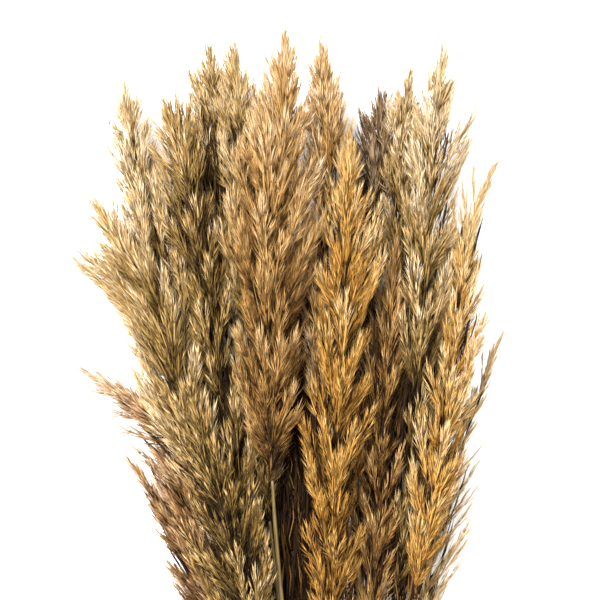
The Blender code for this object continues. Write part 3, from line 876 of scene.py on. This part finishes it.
def makePlume(number, spec):
    # a lock's tone is the plume's lightness plus a little chance, less by painted shade if the lock is
    # slight, plus the foot's painted shade times (its place along the stalk less 0.6)
    rng = np.random.default_rng(4000 + number)
    shape = plumeShape(number)
    line, length = shape[2:4]
    branch = layBranches(rng, spec, shape)
    spikelet = placeSpikelets(rng, branch, spec)
    parts = [stalklets(rng, branch, spikelet)]
    chance = rng.normal(0, tones["locks"], len(branch["long"]))
    lockTone = spec["light"] + chance - tones["slight"] * ~branch["full"]
    lockTone = lockTone + spec["footShade"] * (branch["station"] - 0.6)
    depth = plumeDepth(branch, spikelet["base"], line)
    parts.append(husks(rng, spikelet, spec, lockTone, depth))
    parts.append(silk(rng, branch, spikelet, spec, lockTone, depth))
    parts += stalks(rng, branch, line)
    parts.append(lockBodies(rng, branch, lockTone))
    parts.append(branchShades(rng, branch))
    parts.append(coreShadeStrands(rng, branch, spec, line, length))
    parts += gapShadeStrands(rng, spec, line)
    finish = plumeMaterials[spec["kind"]]
    return makePiece(f"reedPlume_{number:02d}", parts, finish, f"plume_{number:02d}")


triangles = 0
for number, own in plumes.items():
    triangles += makePlume(number, {**usualPlume, **own})
print("plumes made,", triangles, "triangles")


# Culms
culms = {
    "sides": 12,
    "solidSides": 8,  # of the solid that is replaced
    "step": 14.0,  # length of one ring of faces
    "wall": 0.75,
    "hollow": 14.0,  # depth of the open cut end
    "firstJoint": (20.0, 60.0),  # how far above the cut the lowest joint is
    "internode": (95.0, 150.0),
    "bareTop": 90.0,  # no joint is nearer to the neck
    "sheath": (0.55, 0.8),  # share of an internode that a leaf sheath wraps
    "sheathWall": 0.24,
    "swelling": 0.42,  # how far a joint stands out
    "groove": 0.1,  # how deep the ring above it is
    "wobble": 0.03,  # how far from round the culm is
}
culmFinish = {
    "along": ((0.0, (60, 41, 19)), (0.02, (72, 51, 24)), (0.05, (120, 103, 62)), (0.12, (108, 89, 46)),
              (0.55, (104, 86, 41)), (0.60, (82, 63, 30)), (0.63, (99, 84, 35)), (0.85, (94, 78, 32)),
              (0.97, (86, 68, 29)), (1.0, (60, 41, 19))),
    "fibres": (90, 3, 1),
    "fibreDetail": 4.0,
    "blotches": 7.0,
    "shade": ((0.3, (190, 176, 156)), (0.6, (255, 255, 255))),
    "stain": ((0.36, (196, 174, 140)), (0.52, (255, 255, 255))),
    "shadeDepth": 0.85,
    "roughness": (0.55, 0.34),
    "relief": 0.3,
    "reliefDepth": 0.0003,
    "coat": 0.08,
    "coatRoughness": 0.35,
}


def culmMaterial():
    # the colour along the internode, times the shade of the fibres, times the shade of the blotches
    material, tree, shader = newMaterial("culm_straw")
    uv, _, along = ownMap(tree)
    colour = ramp(tree, culmFinish["along"], along, (-500, 200))
    fibre = fibreNoise(tree, uv, culmFinish)
    blotch = noise(tree, uv, culmFinish["blotches"], 3.0)
    shade = ramp(tree, culmFinish["shade"], fibre.outputs[0], (-300, -300))
    stain = ramp(tree, culmFinish["stain"], blotch.outputs[0], (-300, -600))
    colour = multiplied(tree, colour, shade, culmFinish["shadeDepth"])
    colour = multiplied(tree, colour, stain, culmFinish["shadeDepth"])
    tree.links.new(colour, shader.inputs["Base Color"])
    relief(tree, shader, fibre.outputs[0], culmFinish)
    shader.inputs["Coat Weight"].default_value = culmFinish["coat"]
    shader.inputs["Coat Roughness"].default_value = culmFinish["coatRoughness"]
    return material


culmStraw = culmMaterial()


def culmJoints(rng, length):
    # the joints, one internode after another, and where the sheath that starts at each of them ends
    joints = [rng.uniform(*culms["firstJoint"]) * mm]
    while joints[-1] < length - culms["bareTop"] * mm:
        joints.append(joints[-1] + rng.uniform(*culms["internode"]) * mm)
    joints = np.array(joints[:-1])
    wrap = rng.uniform(*culms["sheath"], len(joints))
    following = np.append(joints[1:], length + 50 * mm)
    return joints, joints + wrap * (following - joints), following


def bells(at, centres, wide):
    # a bell at each centre: e to the power of minus the square of (the distance over the width)
    return np.exp(-(((at[:, None] - centres) / wide) ** 2)).sum(1)


def culmProfile(at, plain, joints, sheathEnds, following):
    # The radius is the plain one plus a bell at each joint, less one above it, plus the sheath's wall. The
    # phase, which picks the colour, runs from 0 to 0.6 on the sheath and from 0.63 to 1 on the bare part.
    which = np.searchsorted(joints, at, side="right") - 1
    inside = which >= 0
    start = np.where(inside, joints[which], at[0] - 50 * mm)
    end = np.where(inside, sheathEnds[which], -1)
    wrapped = inside & (at <= end)
    swelling = bells(at, joints, 0.9 * mm) * culms["swelling"] * mm
    groove = bells(at, joints + 2.2 * mm, 0.8 * mm) * culms["groove"] * mm
    sheath = wrapped * culms["sheathWall"] * mm * np.clip((at - start) / (4 * mm), 0, 1)
    radius = plain - 0.22 * mm + swelling - groove + sheath
    bare = np.where(inside, end, start)
    stop = np.where(inside, following[which], joints[0])
    onSheath = 0.6 * (at - start) / np.maximum(end - start, 1e-6)
    onBare = 0.63 + 0.37 * (at - bare) / np.maximum(stop - bare, 1e-6)
    return radius, np.clip(np.where(wrapped, onSheath, onBare), 0, 1)


def makeCulm(number):
    # a ring carried along the solid's line, from inside the cut end over the rim and up to the neck: the
    # line's point plus the radius, a little out of round, times a direction of the ring
    rng = np.random.default_rng(7000 + number)
    name = f"stem_{number:02d}"
    verts = welded(name)[0]
    rings = verts[np.argsort(verts[:, 1])].reshape(-1, culms["solidSides"], 3)
    line = rings.mean(1)
    width = np.linalg.norm(rings - line[:, None], axis=2).mean(1)
    s = distances(line)
    length = s[-1]

    joints, sheathEnds, following = culmJoints(rng, length)
    at = [np.arange(4 * mm, length - 2 * mm, culms["step"] * mm)]
    at += [joints + d * mm for d in (-2.4, -1.2, -0.5, 0.0, 0.5, 1.2, 2.4)]
    at += [sheathEnds + d * mm for d in (-0.6, 0.0, 0.25)]
    at = np.unique(np.round(np.concatenate(at), 6))
    at = at[(at > 3 * mm) & (at < length - 1 * mm)]
    radius, phase = culmProfile(at, np.interp(at, s, width), joints, sheathEnds, following)

    depth = culms["hollow"] * mm
    bore = width[0] - culms["wall"] * mm
    rim = width[0] - 0.3 * mm
    shoulder = width[0] - 0.2 * mm
    at = np.concatenate([[depth, depth, 0.6 * mm, 0.0, 0.0, 0.3 * mm], at, [length - 0.4 * mm, length]])
    radius = np.concatenate([[0, bore * 0.96, bore, bore + 0.1 * mm, rim, shoulder], radius,
                             [width[-1] - 0.2 * mm, 0]])
    phase = np.concatenate([[0.7, 0.7, 0.75, 0.8, 0.8, 0.78], phase, [0.9, 0.92]])
    knots = np.linspace(0, length, 60)
    line = smoothed(onPath(knots, s, line), 14)
    path = onPath(at, knots, line)
    left, up = across(unit(onPath(at, knots, tangents(line))), upwards)

    sides = culms["sides"]
    a = np.arange(sides) * 2 * np.pi / sides
    wobble = 1 + culms["wobble"] * np.cos(2 * a + rng.uniform(0, 6))
    ring = ringOf(left[1:-1], up[1:-1], sides)
    rings = path[1:-1, None] + (radius[1:-1, None] * wobble)[..., None] * ring
    verts = np.concatenate([path[:1], rings.reshape(-1, 3), path[-1:]])
    verts[:, 2] = np.maximum(verts[:, 2], 0.0)
    faces, turn, step = pattern(len(at), sides)
    # every internode has fibres from another third of the map
    third = np.searchsorted(joints, at, side="right") % 3
    uv = np.stack([0.02 + 0.28 * turn + 0.33 * third[step], phase[step]], 1)
    return makePiece(f"reedCulm_{number:02d}", [(verts, faces, uv)], culmStraw, name)


for number in plumes:
    triangles += makeCulm(number)
print("culms made,", triangles, "triangles in all")


# Floor and light
studio = {
    "floor": (244, 244, 243),
    "sky": 1.3,
    "aim": (0.0, 0.18, 0.05),
    "keyLight": {"place": (-0.55, 0.75, 1.65), "size": 0.9, "power": 96.0},
    "fillLight": {"place": (1.1, -0.1, 1.3), "size": 1.4, "power": 14.0},
}

floorMesh = bpy.data.meshes.new("floor")
floorMesh.from_pydata([(-3, -3, 0), (3, -3, 0), (3, 3, 0), (-3, 3, 0)], [], [(0, 1, 2, 3)])
floor = bpy.data.objects.new("floor", floorMesh)
floor.location = (0, 0, -0.0004)
bpy.context.scene.collection.objects.link(floor)
floorFinish, floorTree, floorShader = newMaterial("floorPaper")
floorShader.inputs["Base Color"].default_value = srgb(*studio["floor"])
floorShader.inputs["Roughness"].default_value = 0.9
floorMesh.materials.append(floorFinish)


def softLight(name):
    # a round lamp turned so that it looks from its place to the aim
    lamp = studio[name]
    data = bpy.data.lights.new(name, "AREA")
    data.shape = "DISK"
    data.size = lamp["size"]
    data.energy = lamp["power"]
    light = bpy.data.objects.new(name, data)
    light.location = lamp["place"]
    way = Vector(studio["aim"]) - Vector(lamp["place"])
    light.rotation_euler = way.to_track_quat("-Z", "Y").to_euler()
    bpy.context.scene.collection.objects.link(light)


softLight("keyLight")
softLight("fillLight")

world = bpy.data.worlds.new("studioAir")
world.use_nodes = True
world.node_tree.nodes["Background"].inputs["Color"].default_value = (1, 1, 1, 1)
world.node_tree.nodes["Background"].inputs["Strength"].default_value = studio["sky"]
bpy.context.scene.world = world
bpy.context.scene.view_settings.view_transform = "Standard"
